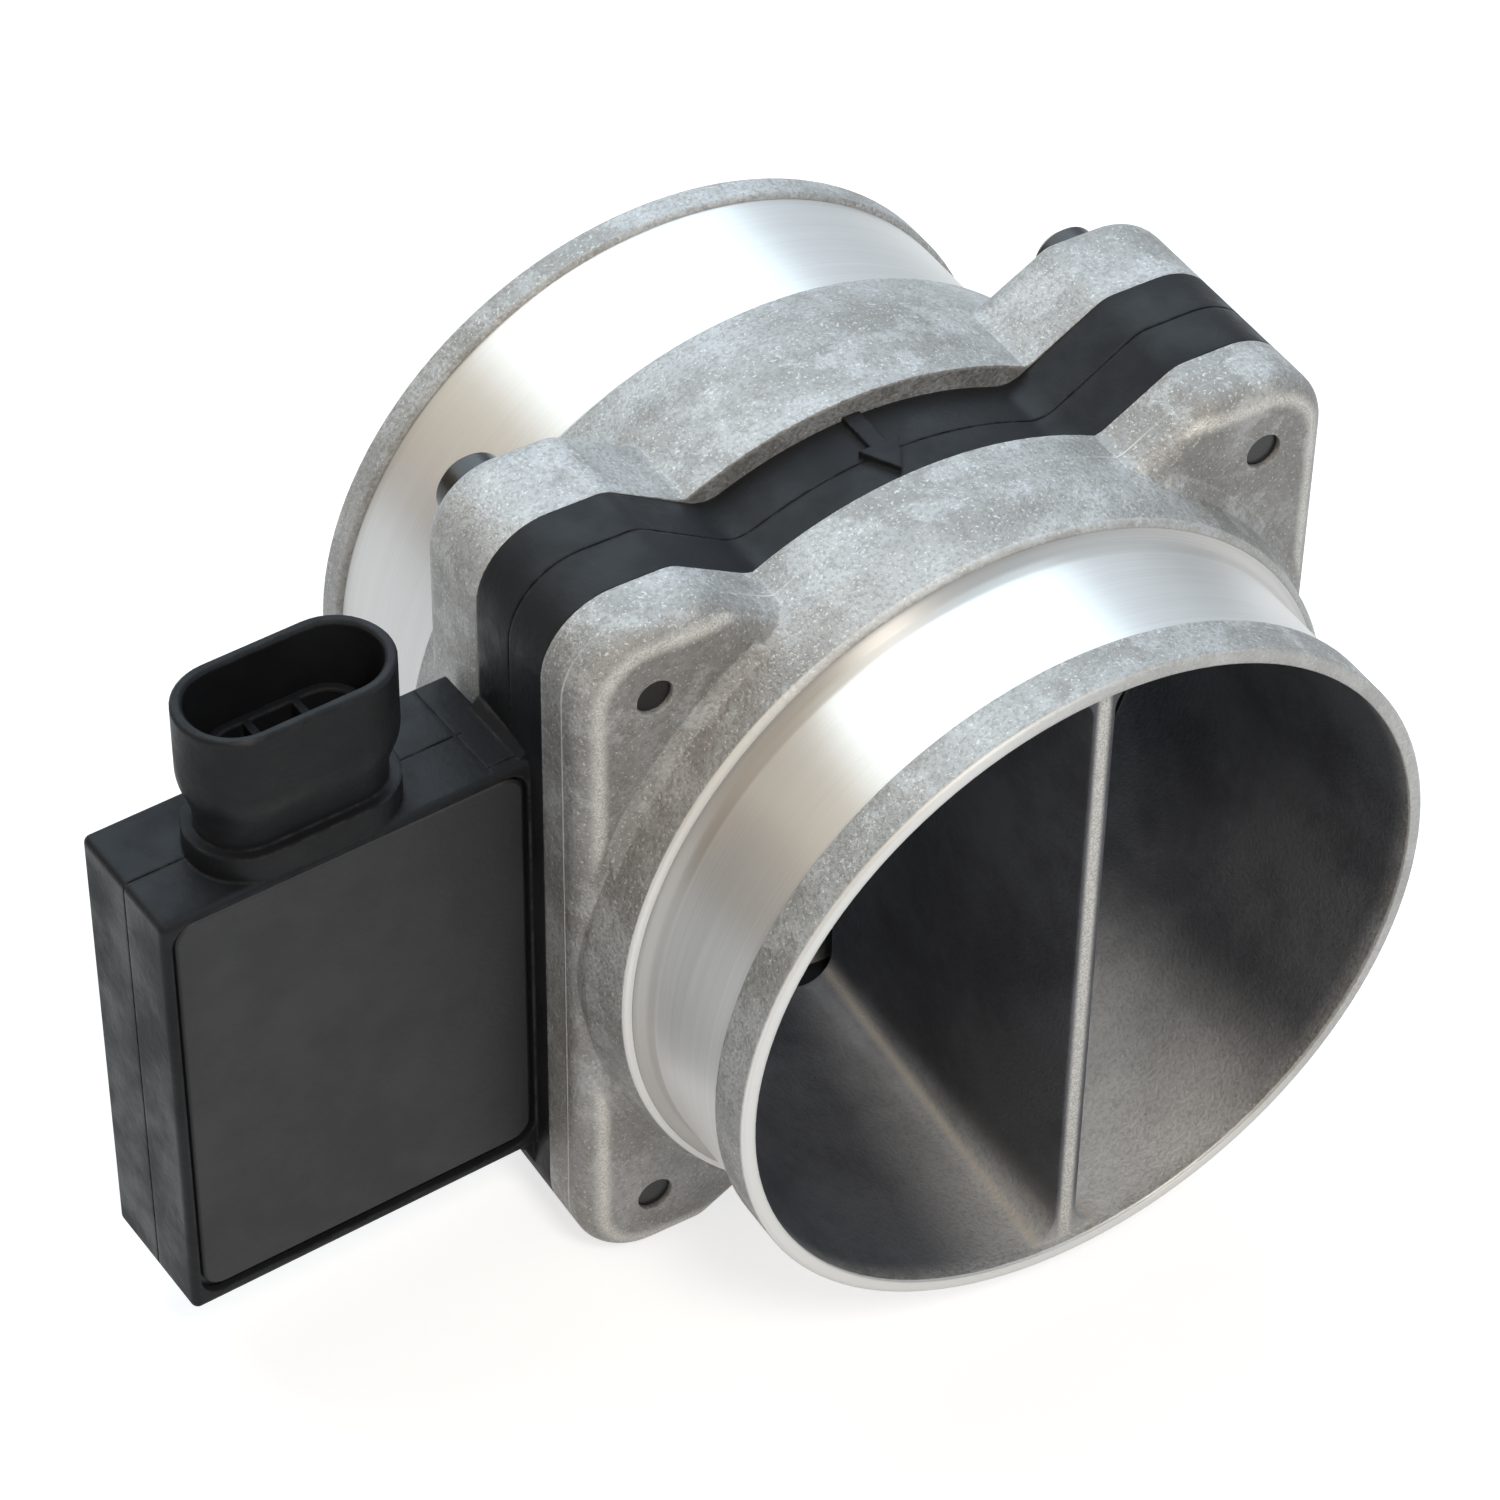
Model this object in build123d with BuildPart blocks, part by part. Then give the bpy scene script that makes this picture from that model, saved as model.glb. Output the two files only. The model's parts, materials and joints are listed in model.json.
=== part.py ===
from build123d import *
import math
import os

# Mass airflow sensor: two cast spigot housings bolted through a moulded sensor body.
# Millimetres. The bore runs along +Y from the outlet end face at y = 0, +Z is up,
# and the module box points to -X.

# Lengths along the bore, from the outlet end face
outlet_rim_width = 6.5
outlet_band_width = 17.3
outlet_collar_length = 7.1
outlet_ear_thickness = 9.4
body_thickness = 15.4
inlet_ear_thickness = 14.2
inlet_collar_length = 8.6
inlet_band_width = 22.9
inlet_rim_width = 4.1
sleeve_insertion = 12.2

# Radii of the castings
spigot_radius = 50.0
band_depth = 0.8
step_rise = 1.5
step_width = 1.3
collar_draft = 1.45
mouth_wall = 1.9
bore_taper = 4.1
sleeve_wall = 2.7

# Small forms of the castings
run_out_length = 2.2
run_out_knee = 0.9
rim_chamfer = 0.4
collar_chamfer = 0.5
ear_edge_round = 3.6
collar_root = 1.3
collar_overlap = 0.9

# Vane across the bore of each casting
vane_setback = 1.5
vane_nose_half = 1.5
vane_body_half = 3.5
vane_root_fillet = 4.0
vane_embed = 0.7
passage_skin = 0.05

# Square flange with a screw at each corner
flange_margin = 0.25
flange_corner_radius = 10.0
screw_inset = 10.1
ear_top_share = 0.33
casting_shoulder_run = 12.0
body_shoulder_run = 14.0
shoulder_round = 5.0
valley_round = 5.0

# Screws
screw_radius = 2.4
screw_clearance = 0.2
tapped_clearance = 0.1
screw_head_radius = 4.7
screw_head_height = 6.6
screw_head_chamfer = 1.2
screw_end_depth = 0.7
drive_radius = 2.2
drive_depth = 2.6

# Ring of the sensor body
sleeve_clearance = 0.3
sleeve_end_gap = 0.2
waist_wall = 3.3
parting_width = 0.3
parting_depth = 0.2

# Seal rings in the joint faces of the castings
seal_width = 1.7
seal_height = 1.4
seal_side_clearance = 0.1

# Module box, measured from where it meets the side of the flange and from the
# middle plane of the body; it stands turned by a few degrees about the vertical
module_yaw = 3.0
box_length = 51.0
box_top = 27.7
box_bottom = -40.2
box_front = -4.6
box_back = 14.5
box_wall = 2.6
box_root = 3.0
box_rear_gap = 0.5
box_edge_round = 1.0
joint_relief = 0.2
gusset_width = 1.1
gusset_rise = 1.3
flare_width = 3.2
flare_drop = 4.8
box_parting = 4.2
strip_width = 5.2

# Lid and the recess it lies in
frame_left = 1.2
frame_right = 0.5
frame_top = 0.9
frame_bottom = 1.6
recess_depth = 2.6
recess_corner = 3.4
lid_gap = 0.6
lid_gap_bottom = 1.1
lid_thickness = 1.6
lid_sink = 0.2
lid_corner = 2.9
bead_sink = 1.1
ledge_width = 1.6
cavity_corner = 2.0

# Connector
connector_share = 0.561
connector_across = 3.2
shroud_length = 28.4
shroud_width = 15.1
shroud_wall = 1.5
shroud_top = 50.2
shroud_base = 39.0
neck_top = 34.5
neck_inset = 1.6
neck_blend = 8.0
plinth_rise = 3.8
plinth_length = 28.2
plinth_inset = 0.3
mouth_chamfer = 0.4
socket_floor = 37.0
island_rise = 5.0
island_side_gap = 1.1
island_end_gap = 2.2
pocket_depth = 3.6
pocket_wall = 1.2
pocket_rib = 1.0

# Terminals
terminal_pitch = 6.6
blade_width = 2.4
blade_thickness = 0.8
blade_height = 5.8
foot_length = 7.5
jog_clearance = 1.5

# Window from the module box into the bore
window_half = 7.8
window_front = -1.2
window_clearance = 0.3
seat_back = 4.2
notch_margin = 0.5

# Heat sink, board and the parts on it
sink_thickness = 2.0
board_margin = 1.4
board_thickness = 1.6
board_end_gap = 7.0
sink_margin = 1.5
rail_width = 3.0
rail_inset = 6.0
fin_count = 5
fin_thickness = 1.2
fin_height = 3.8
fin_length = 6.6
chip_side = 14.0
chip_height = 1.7
transistor_side = 9.0
transistor_height = 2.6
transistor_gap = 0.6
capacitor_radius = 2.6
capacitor_height = 2.8
part_chamfer = 0.3

# Sensing head in the left passage
tongue_reach = 17.7
carrier_back_gap = 2.3
carrier_reach = 19.7
lead_size = 0.6
lead_overlap = 2.5
element_reach = 25.7
heated_offset = 4.8
heated_spread = 1.3
heated_side = 4.0
bead_spread = 0.7
bead_radius = 1.3
bead_length = 2.6

# Flow arrow on the top of the body ring
arrow_offset = -1.4
arrow_rise = 0.9
arrow_tail_gap = 0.4
arrow_head_start = 6.8
arrow_tip = 11.9
arrow_head_half = 2.9
arrow_shaft_half = 1.2

# Worked out from the sizes above
outlet_step_y = outlet_rim_width + outlet_band_width
outlet_pad_y = outlet_step_y + outlet_collar_length
outlet_joint_y = outlet_pad_y + outlet_ear_thickness
inlet_joint_y = outlet_joint_y + body_thickness
inlet_pad_y = inlet_joint_y + inlet_ear_thickness
inlet_step_y = inlet_pad_y + inlet_collar_length
overall_length = inlet_step_y + inlet_band_width + inlet_rim_width
body_middle_y = outlet_joint_y + body_thickness / 2
sleeve_end_y = outlet_joint_y + sleeve_insertion
lip_front_y = sleeve_end_y + sleeve_end_gap
band_radius = spigot_radius - band_depth
step_inner_radius = band_radius + step_rise
step_outer_radius = step_inner_radius + step_width
collar_radius = step_outer_radius + collar_draft
mouth_radius = spigot_radius - mouth_wall
throat_radius = mouth_radius - bore_taper
sleeve_radius = throat_radius + sleeve_wall
body_bore = sleeve_radius + sleeve_clearance
body_waist_radius = body_bore + waist_wall
seal_radius = body_bore + waist_wall / 2
flange_half = collar_radius + flange_margin
screw_offset = flange_half - screw_inset
shoulder_x = flange_half * (1 - ear_top_share)
connector_out = box_length * connector_share
recess_left = frame_left - box_length
recess_right = -frame_right
recess_top = box_top - frame_top
recess_bottom = box_bottom + frame_bottom
lid_left = recess_left + lid_gap
lid_right = recess_right - lid_gap
lid_top = recess_top - lid_gap
lid_bottom = recess_bottom + lid_gap_bottom
lid_front = box_front + lid_sink
lid_back = lid_front + lid_thickness
ledge = box_front + recess_depth
cavity_left = recess_left + ledge_width
cavity_right = recess_right - ledge_width
cavity_top = recess_top - ledge_width
cavity_bottom = recess_bottom + ledge_width
cavity_floor = box_back - box_wall
sink_front = seat_back - sink_thickness
board_front = sink_front - board_thickness
board_left = cavity_left + board_margin
board_right = cavity_right - board_end_gap
board_top = cavity_top - 2 * board_margin
board_bottom = cavity_bottom + 2 * board_margin
sink_left = board_left + sink_margin
sink_right = board_right - sink_margin
sink_top = board_top - sink_margin
sink_bottom = board_bottom + sink_margin
tongue_half = window_half - window_clearance
lead_level = board_front - lead_size / 2
carrier_back = cavity_right - carrier_back_gap
island_top = socket_floor + island_rise


def section(y):
    """Plane across the bore at y, with local x = X and local y = Z; it faces -Y."""
    return Plane.XZ.offset(-y)


# The module has a plane of its own, turned by its yaw
module_plane = Plane(
    origin=(-flange_half, body_middle_y, 0),
    x_dir=(math.cos(math.radians(module_yaw)), math.sin(math.radians(module_yaw)), 0),
    z_dir=(0, 0, 1),
)
module_along = Axis(module_plane.origin, module_plane.x_dir)
module_across = Axis(module_plane.origin, module_plane.y_dir)


def module_level(height):
    """Level plane of the module: local x runs along the box, local y across it."""
    return module_plane.offset(height)


def module_section(across):
    """Upright plane of the module that faces its lid; local y is the height."""
    place = module_plane.origin + module_plane.y_dir * across
    return Plane(origin=place, x_dir=module_plane.x_dir, z_dir=-module_plane.y_dir)


def module_end(along):
    """Upright plane of the module that faces the bore; local x runs across the box."""
    place = module_plane.origin + module_plane.x_dir * along
    return Plane(origin=place, x_dir=module_plane.y_dir, z_dir=module_plane.x_dir)


def bore_radius(y):
    """Radius of the tapered bore: widest at each mouth, narrowest at the body."""
    if y < (sleeve_end_y + inlet_joint_y) / 2:
        return mouth_radius - bore_taper * y / sleeve_end_y
    return mouth_radius - bore_taper * (overall_length - y) / (overall_length - inlet_joint_y)


def flange_face(waist_radius, shoulder_run):
    """Square flange outline with an ear at each corner and a waist at top and bottom."""
    valley_x = shoulder_x - shoulder_run
    valley_z = math.sqrt(waist_radius**2 - valley_x**2)
    slope = (flange_half - valley_z) / shoulder_run
    inner_x = valley_x / 4
    inner_z = flange_half - slope * (shoulder_x - inner_x)
    outer_x = shoulder_x + flange_margin / slope
    outer_z = flange_half + flange_margin
    with BuildSketch(Plane.XY, mode=Mode.PRIVATE) as face:
        Rectangle(2 * flange_half, 2 * flange_half)
        fillet(face.vertices(), flange_corner_radius)
        for side in (1, -1):
            with BuildLine():
                Polyline(
                    (-outer_x, side * outer_z),
                    (outer_x, side * outer_z),
                    (inner_x, side * inner_z),
                    (-inner_x, side * inner_z),
                    close=True,
                )
            make_face(mode=Mode.SUBTRACT)
        Circle(waist_radius)
        corners = [v for v in face.vertices() if abs(abs(v.X) - shoulder_x) < 0.01]
        fillet(corners, shoulder_round)
        valleys = [v for v in face.vertices() if abs(abs(v.X) - valley_x) < 0.01]
        fillet(valleys, valley_round)
    return face.sketch


def parting_ring(waist_radius, shoulder_run):
    """Thin band just inside the outline, cut away where two mould halves met."""
    with BuildSketch(Plane.XY, mode=Mode.PRIVATE) as ring:
        add(flange_face(waist_radius, shoulder_run))
        inner = offset(ring.sketch, amount=-parting_depth, mode=Mode.PRIVATE)
        add(inner, mode=Mode.SUBTRACT)
    return ring.sketch


def seal_groove():
    """Ring outline of the groove that holds a seal in a joint face."""
    with BuildSketch(Plane.XY, mode=Mode.PRIVATE) as ring:
        Circle(seal_radius + seal_width / 2 + seal_side_clearance)
        Circle(seal_radius - seal_width / 2 - seal_side_clearance, mode=Mode.SUBTRACT)
    return ring.sketch


def half_passage(y, side, vane_half):
    """Half-round passage outline beside the vane, with the fillets at the vane roots."""
    radius = bore_radius(y) + passage_skin
    with BuildSketch(Plane.XY, mode=Mode.PRIVATE) as face:
        Circle(radius)
        with Locations((side * (vane_half + radius), 0)):
            Rectangle(2 * radius, 2 * radius, mode=Mode.INTERSECT)
        fillet(face.vertices(), vane_root_fillet)
    return face.sketch


def vane_web(y_open, y_end):
    """Upright vane with flared roots, running from its nose to the body end of a casting."""
    run = math.copysign(passage_skin * 10, y_end - y_open)
    grow = (vane_body_half - vane_nose_half) / (y_end - y_open)
    with BuildPart(mode=Mode.PRIVATE) as web:
        with BuildSketch(Plane.YZ):
            with BuildLine():
                Polyline(
                    (y_open, 0),
                    (y_open, bore_radius(y_open) + vane_embed),
                    (y_end, bore_radius(y_end) + vane_embed),
                    (y_end, 0),
                    close=True,
                )
            make_face()
        revolve(axis=Axis.Y)
        for side in (1, -1):
            for y in (y_open - run, y_end + run):
                with BuildSketch(section(y)):
                    add(half_passage(y, side, vane_nose_half + grow * (y - y_open)))
            loft(mode=Mode.SUBTRACT)
    return web.part


def plate_face(left, right, bottom, top, corner):
    """Rounded rectangle given by its four sides."""
    with BuildSketch(Plane.XY, mode=Mode.PRIVATE) as face:
        with Locations(((left + right) / 2, (bottom + top) / 2)):
            Rectangle(right - left, top - bottom)
        fillet(face.vertices(), corner)
    return face.sketch


def ear_roots(pad_y, step_y):
    """Sloping roots where the collar meets the flat faces of the four ears."""
    toward_step = math.copysign(collar_root, step_y - pad_y)
    slope = collar_draft / (abs(step_y - pad_y) - collar_chamfer)
    face = flange_face(collar_radius - collar_overlap, casting_shoulder_run)
    with BuildPart(mode=Mode.PRIVATE) as roots:
        with BuildSketch(Plane.YZ):
            with BuildLine():
                Polyline(
                    (pad_y, collar_radius - collar_root),
                    (pad_y, collar_radius + collar_root),
                    (pad_y + toward_step, collar_radius - collar_root * slope),
                    (pad_y + toward_step, collar_radius - collar_root),
                    close=True,
                )
            make_face()
        revolve(axis=Axis.Y)
        with BuildSketch(section(pad_y)):
            add(offset(face, amount=-ear_edge_round, mode=Mode.PRIVATE))
        extrude(amount=-toward_step, mode=Mode.INTERSECT)
    return roots.part


outlet_web = vane_web(vane_setback, sleeve_end_y)
inlet_web = vane_web(overall_length - vane_setback, inlet_joint_y)

# Outlet casting: rim, machined band, collar, ears, sleeve and vane
with BuildPart() as outlet_housing:
    with BuildSketch(section(outlet_joint_y)):
        add(flange_face(collar_radius - collar_overlap, casting_shoulder_run))
    extrude(amount=outlet_ear_thickness)
    fillet(outlet_housing.edges().group_by(Axis.Y)[0], ear_edge_round)
    with BuildSketch(Plane.YZ):
        with BuildLine():
            Polyline(
                (0, mouth_radius - bore_taper),
                (0, spigot_radius - rim_chamfer),
                (rim_chamfer, spigot_radius),
                (outlet_rim_width - rim_chamfer, spigot_radius),
                (outlet_rim_width, spigot_radius - rim_chamfer),
                (outlet_rim_width, band_radius),
                (outlet_step_y - run_out_length, band_radius),
                (outlet_step_y - run_out_knee, band_radius + step_rise / 4),
                (outlet_step_y, step_inner_radius),
                (outlet_step_y, step_outer_radius - collar_chamfer),
                (outlet_step_y + collar_chamfer, step_outer_radius),
                (outlet_pad_y, collar_radius),
                (outlet_joint_y, collar_radius),
                (outlet_joint_y, sleeve_radius),
                (sleeve_end_y, sleeve_radius),
                (sleeve_end_y, mouth_radius - bore_taper),
                close=True,
            )
        make_face()
    revolve(axis=Axis.Y)
    add(ear_roots(outlet_pad_y, outlet_step_y))
    # Tapered bore, then the vane across it
    with BuildSketch(Plane.YZ):
        with BuildLine():
            Polyline(
                (-1, 0),
                (-1, bore_radius(-1)),
                (sleeve_end_y + 1, bore_radius(sleeve_end_y + 1)),
                (sleeve_end_y + 1, 0),
                close=True,
            )
        make_face()
    revolve(axis=Axis.Y, mode=Mode.SUBTRACT)
    add(outlet_web)
    # Tapped screw holes
    with BuildSketch(section(outlet_joint_y)):
        with GridLocations(2 * screw_offset, 2 * screw_offset, 2, 2):
            Circle(screw_radius + tapped_clearance)
    extrude(amount=outlet_ear_thickness, mode=Mode.SUBTRACT)
    # Groove for the seal ring
    with BuildSketch(section(outlet_joint_y)):
        add(seal_groove())
    extrude(amount=seal_height, mode=Mode.SUBTRACT)
    # Notch in the sleeve for the sensing head
    notch_length = sleeve_end_y - body_middle_y - window_front + notch_margin
    with BuildSketch(section(sleeve_end_y)):
        with Locations((-sleeve_radius, 0)):
            Rectangle(sleeve_radius / 2, 2 * window_half)
    extrude(amount=notch_length, mode=Mode.SUBTRACT)

# Inlet casting: the same build facing the other way, with thicker ears and a wider band
with BuildPart() as inlet_housing:
    with BuildSketch(section(inlet_joint_y)):
        add(flange_face(collar_radius - collar_overlap, casting_shoulder_run))
    extrude(amount=-inlet_ear_thickness)
    fillet(inlet_housing.edges().group_by(Axis.Y)[-1], ear_edge_round)
    inlet_rim_y = overall_length - inlet_rim_width
    with BuildSketch(Plane.YZ):
        with BuildLine():
            Polyline(
                (overall_length, mouth_radius - bore_taper),
                (overall_length, spigot_radius - rim_chamfer),
                (overall_length - rim_chamfer, spigot_radius),
                (inlet_rim_y + rim_chamfer, spigot_radius),
                (inlet_rim_y, spigot_radius - rim_chamfer),
                (inlet_rim_y, band_radius),
                (inlet_step_y + run_out_length, band_radius),
                (inlet_step_y + run_out_knee, band_radius + step_rise / 4),
                (inlet_step_y, step_inner_radius),
                (inlet_step_y, step_outer_radius - collar_chamfer),
                (inlet_step_y - collar_chamfer, step_outer_radius),
                (inlet_pad_y, collar_radius),
                (inlet_joint_y, collar_radius),
                (inlet_joint_y, mouth_radius - bore_taper),
                close=True,
            )
        make_face()
    revolve(axis=Axis.Y)
    add(ear_roots(inlet_pad_y, inlet_step_y))
    # Tapered bore, then the vane across it
    with BuildSketch(Plane.YZ):
        with BuildLine():
            Polyline(
                (inlet_joint_y - 1, 0),
                (inlet_joint_y - 1, bore_radius(inlet_joint_y - 1)),
                (overall_length + 1, bore_radius(overall_length + 1)),
                (overall_length + 1, 0),
                close=True,
            )
        make_face()
    revolve(axis=Axis.Y, mode=Mode.SUBTRACT)
    add(inlet_web)
    # Screw holes
    with BuildSketch(section(inlet_joint_y)):
        with GridLocations(2 * screw_offset, 2 * screw_offset, 2, 2):
            Circle(screw_radius + screw_clearance)
    extrude(amount=-inlet_ear_thickness, mode=Mode.SUBTRACT)
    # Groove for the seal ring
    with BuildSketch(section(inlet_joint_y)):
        add(seal_groove())
    extrude(amount=-seal_height, mode=Mode.SUBTRACT)

# Moulded sensor body: eared ring, module box and connector in one piece
with BuildPart() as sensor_body:
    # Module box with its edges rounded; its rear part stands clear of the inlet casting
    joint_across = body_thickness / 2 - joint_relief
    with BuildSketch(module_level(box_bottom)):
        with BuildLine():
            Polyline(
                (-box_length, box_front),
                (box_root, box_front),
                (box_root, joint_across),
                (-box_rear_gap, joint_across),
                (-box_rear_gap, box_back),
                (-box_length, box_back),
                close=True,
            )
        make_face()
    extrude(amount=box_top - box_bottom)
    box_edges = [
        e
        for e in sensor_body.edges()
        if module_plane.to_local_coords(e.center()).X < -box_rear_gap - 0.1
    ]
    fillet(box_edges, box_edge_round)
    # Parting line round the box, and the insert lines beside the flange
    with BuildSketch(module_section(box_parting + parting_width)):
        with Locations((-(box_length + strip_width) / 2, (box_top + box_bottom) / 2)):
            Rectangle(box_length - strip_width + 2, box_top - box_bottom + 2)
            Rectangle(
                box_length - strip_width - 2 * parting_depth,
                box_top - box_bottom - 2 * parting_depth,
                mode=Mode.SUBTRACT,
            )
        with Locations((-strip_width - parting_depth, (box_top + box_bottom) / 2)):
            Rectangle(4, box_top - box_bottom - 2 * parting_depth, mode=Mode.SUBTRACT)
    extrude(amount=parting_width, mode=Mode.SUBTRACT)
    with BuildSketch(module_level(box_top)):
        with Locations((-strip_width, (box_front + box_back) / 2 + box_edge_round)):
            Rectangle(parting_width, box_back - box_front)
        with Locations((-strip_width / 2, box_front + 2 * box_edge_round)):
            Rectangle(strip_width, parting_width)
    extrude(amount=-parting_depth, mode=Mode.SUBTRACT)
    # Gusset above and flare below the box, where it joins the flange
    with BuildSketch(module_section(joint_across)):
        with BuildLine():
            Polyline(
                (-gusset_width, box_top),
                (0, box_top + gusset_rise),
                (gusset_width, box_top + gusset_rise),
                (gusset_width, box_top - gusset_width),
                (-gusset_width, box_top - gusset_width),
                close=True,
            )
        make_face()
        with BuildLine():
            Polyline(
                (-flare_width, box_bottom),
                (-flare_width / 2, box_bottom - flare_drop / 4),
                (0, box_bottom - flare_drop),
                (gusset_width, box_bottom - flare_drop),
                (gusset_width, box_bottom + gusset_width),
                (-flare_width, box_bottom + gusset_width),
                close=True,
            )
        make_face()
    extrude(amount=joint_across - box_front - box_edge_round)
    # Eared ring plate
    with BuildSketch(section(inlet_joint_y)):
        add(flange_face(body_waist_radius, body_shoulder_run))
    extrude(amount=body_thickness)
    with BuildSketch(section(body_middle_y + parting_width / 2)):
        add(parting_ring(body_waist_radius, body_shoulder_run))
        with Locations((-flange_half, (box_top + box_bottom - flare_drop) / 2)):
            Rectangle(
                2 * gusset_width,
                box_top - box_bottom + 2 * flare_drop,
                mode=Mode.SUBTRACT,
            )
    extrude(amount=parting_width, mode=Mode.SUBTRACT)
    # Flow arrow standing on the waist
    arrow_shaft_y = inlet_joint_y - arrow_head_start
    with BuildSketch(Plane.XY.offset(body_bore)):
        with BuildLine():
            Polyline(
                (arrow_offset - arrow_shaft_half, inlet_joint_y - arrow_tail_gap),
                (arrow_offset + arrow_shaft_half, inlet_joint_y - arrow_tail_gap),
                (arrow_offset + arrow_shaft_half, arrow_shaft_y),
                (arrow_offset + arrow_head_half, arrow_shaft_y),
                (arrow_offset, inlet_joint_y - arrow_tip),
                (arrow_offset - arrow_head_half, arrow_shaft_y),
                (arrow_offset - arrow_shaft_half, arrow_shaft_y),
                close=True,
            )
        make_face()
    extrude(amount=waist_wall + arrow_rise)
    # Bore for the sleeve, and the lip behind the sleeve end
    with BuildSketch(Plane.YZ):
        with BuildLine():
            Polyline(
                (outlet_joint_y - 1, 0),
                (outlet_joint_y - 1, body_bore),
                (lip_front_y, body_bore),
                (lip_front_y, throat_radius),
                (inlet_joint_y + 1, throat_radius),
                (inlet_joint_y + 1, 0),
                close=True,
            )
        make_face()
    revolve(axis=Axis.Y, mode=Mode.SUBTRACT)
    # Screw holes
    with BuildSketch(section(inlet_joint_y)):
        with GridLocations(2 * screw_offset, 2 * screw_offset, 2, 2):
            Circle(screw_radius + screw_clearance)
    extrude(amount=body_thickness, mode=Mode.SUBTRACT)
    # Connector: plinth, neck, flared collar
    neck_length = shroud_length - 2 * neck_inset
    neck_width = shroud_width - 2 * neck_inset
    with BuildSketch(module_level(cavity_top)):
        with Locations((-connector_out, connector_across)):
            SlotOverall(plinth_length, 2 * (connector_across - box_front - plinth_inset))
    extrude(amount=box_top + plinth_rise - cavity_top)
    with BuildSketch(module_level(cavity_top)):
        with Locations((-connector_out, connector_across)):
            SlotOverall(neck_length, neck_width)
    extrude(amount=neck_top - cavity_top)
    with BuildSketch(module_level(neck_top)):
        with Locations((-connector_out, connector_across)):
            SlotOverall(neck_length, neck_width)
    with BuildSketch(module_level(shroud_base)):
        with Locations((-connector_out, connector_across)):
            SlotOverall(shroud_length, shroud_width)
    loft(ruled=True)
    with BuildSketch(module_level(shroud_base)):
        with Locations((-connector_out, connector_across)):
            SlotOverall(shroud_length, shroud_width)
    extrude(amount=shroud_top - shroud_base)
    blend_edges = [
        e
        for e in sensor_body.edges()
        if abs(e.center().Z - shroud_base) < 0.01 or abs(e.center().Z - neck_top) < 0.01
    ]
    fillet(blend_edges, neck_blend)
    # Socket with a raised island, pocketed between the terminals
    socket_length = shroud_length - 2 * shroud_wall
    socket_width = shroud_width - 2 * shroud_wall
    with BuildSketch(module_level(shroud_top)):
        with Locations((-connector_out, connector_across)):
            SlotOverall(socket_length, socket_width)
    extrude(amount=socket_floor - shroud_top, mode=Mode.SUBTRACT)
    mouth_edges = [
        e
        for e in sensor_body.edges()
        if abs(e.center().Z - shroud_top) < 0.01 and e.center().X < -flange_half
    ]
    chamfer(mouth_edges, mouth_chamfer)
    island_length = socket_length - 2 * island_end_gap
    island_width = socket_width - 2 * island_side_gap
    with BuildSketch(module_level(socket_floor)):
        with Locations((-connector_out, connector_across)):
            SlotOverall(island_length, island_width)
    extrude(amount=island_rise)
    with BuildSketch(module_level(island_top)):
        with Locations((-connector_out, connector_across)):
            SlotOverall(island_length - 2 * pocket_wall, island_width - 2 * pocket_wall)
            with GridLocations(terminal_pitch, 1, 2, 1):
                Rectangle(pocket_rib, shroud_width, mode=Mode.SUBTRACT)
    extrude(amount=-pocket_depth, mode=Mode.SUBTRACT)
    # Slots the terminals are moulded into
    with BuildSketch(module_level(island_top)):
        with Locations((-connector_out, connector_across)):
            with GridLocations(terminal_pitch, 1, 3, 1):
                Rectangle(blade_width, blade_thickness)
    extrude(amount=cavity_top - island_top, mode=Mode.SUBTRACT)
    # Recess for the lid and the cavity behind it
    with BuildSketch(module_section(box_front)):
        add(plate_face(recess_left, recess_right, recess_bottom, recess_top, recess_corner))
    extrude(amount=-recess_depth, mode=Mode.SUBTRACT)
    with BuildSketch(module_section(ledge)):
        add(plate_face(cavity_left, cavity_right, cavity_bottom, cavity_top, cavity_corner))
    extrude(amount=ledge - cavity_floor, mode=Mode.SUBTRACT)
    # Two rails that carry the heat sink
    with BuildSketch(module_section(cavity_floor)):
        for along in (sink_left + rail_inset, sink_right - rail_inset):
            with Locations((along, (sink_top + sink_bottom) / 2)):
                Rectangle(rail_width, sink_top - sink_bottom - rail_inset)
    extrude(amount=cavity_floor - seat_back)
    # Window into the bore
    window_end = flange_half - throat_radius
    with BuildSketch(module_section(seat_back)):
        with Locations(((cavity_right + window_end) / 2, 0)):
            Rectangle(window_end - cavity_right + ledge_width, 2 * window_half)
    extrude(amount=seat_back - window_front, mode=Mode.SUBTRACT)

# Seal rings between the castings and the body
with BuildPart() as outlet_seal:
    with BuildSketch(Plane.YZ):
        with Locations((outlet_joint_y - seal_height / 2, seal_radius)):
            Rectangle(seal_height, seal_width)
    revolve(axis=Axis.Y)

with BuildPart() as inlet_seal:
    with BuildSketch(Plane.YZ):
        with Locations((inlet_joint_y + seal_height / 2, seal_radius)):
            Rectangle(seal_height, seal_width)
    revolve(axis=Axis.Y)

# Four screws, put in from the inlet side
with BuildPart() as housing_screws:
    with BuildSketch(section(inlet_pad_y)):
        with GridLocations(2 * screw_offset, 2 * screw_offset, 2, 2):
            Circle(screw_radius)
    extrude(amount=inlet_pad_y - outlet_pad_y - screw_end_depth)
    with BuildSketch(section(inlet_pad_y)):
        with GridLocations(2 * screw_offset, 2 * screw_offset, 2, 2):
            Circle(screw_head_radius)
    extrude(amount=-screw_head_height)
    chamfer(housing_screws.edges().group_by(Axis.Y)[-1], screw_head_chamfer)
    with BuildSketch(section(inlet_pad_y + screw_head_height)):
        with GridLocations(2 * screw_offset, 2 * screw_offset, 2, 2):
            RegularPolygon(drive_radius, 6)
    extrude(amount=drive_depth, mode=Mode.SUBTRACT)

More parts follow.
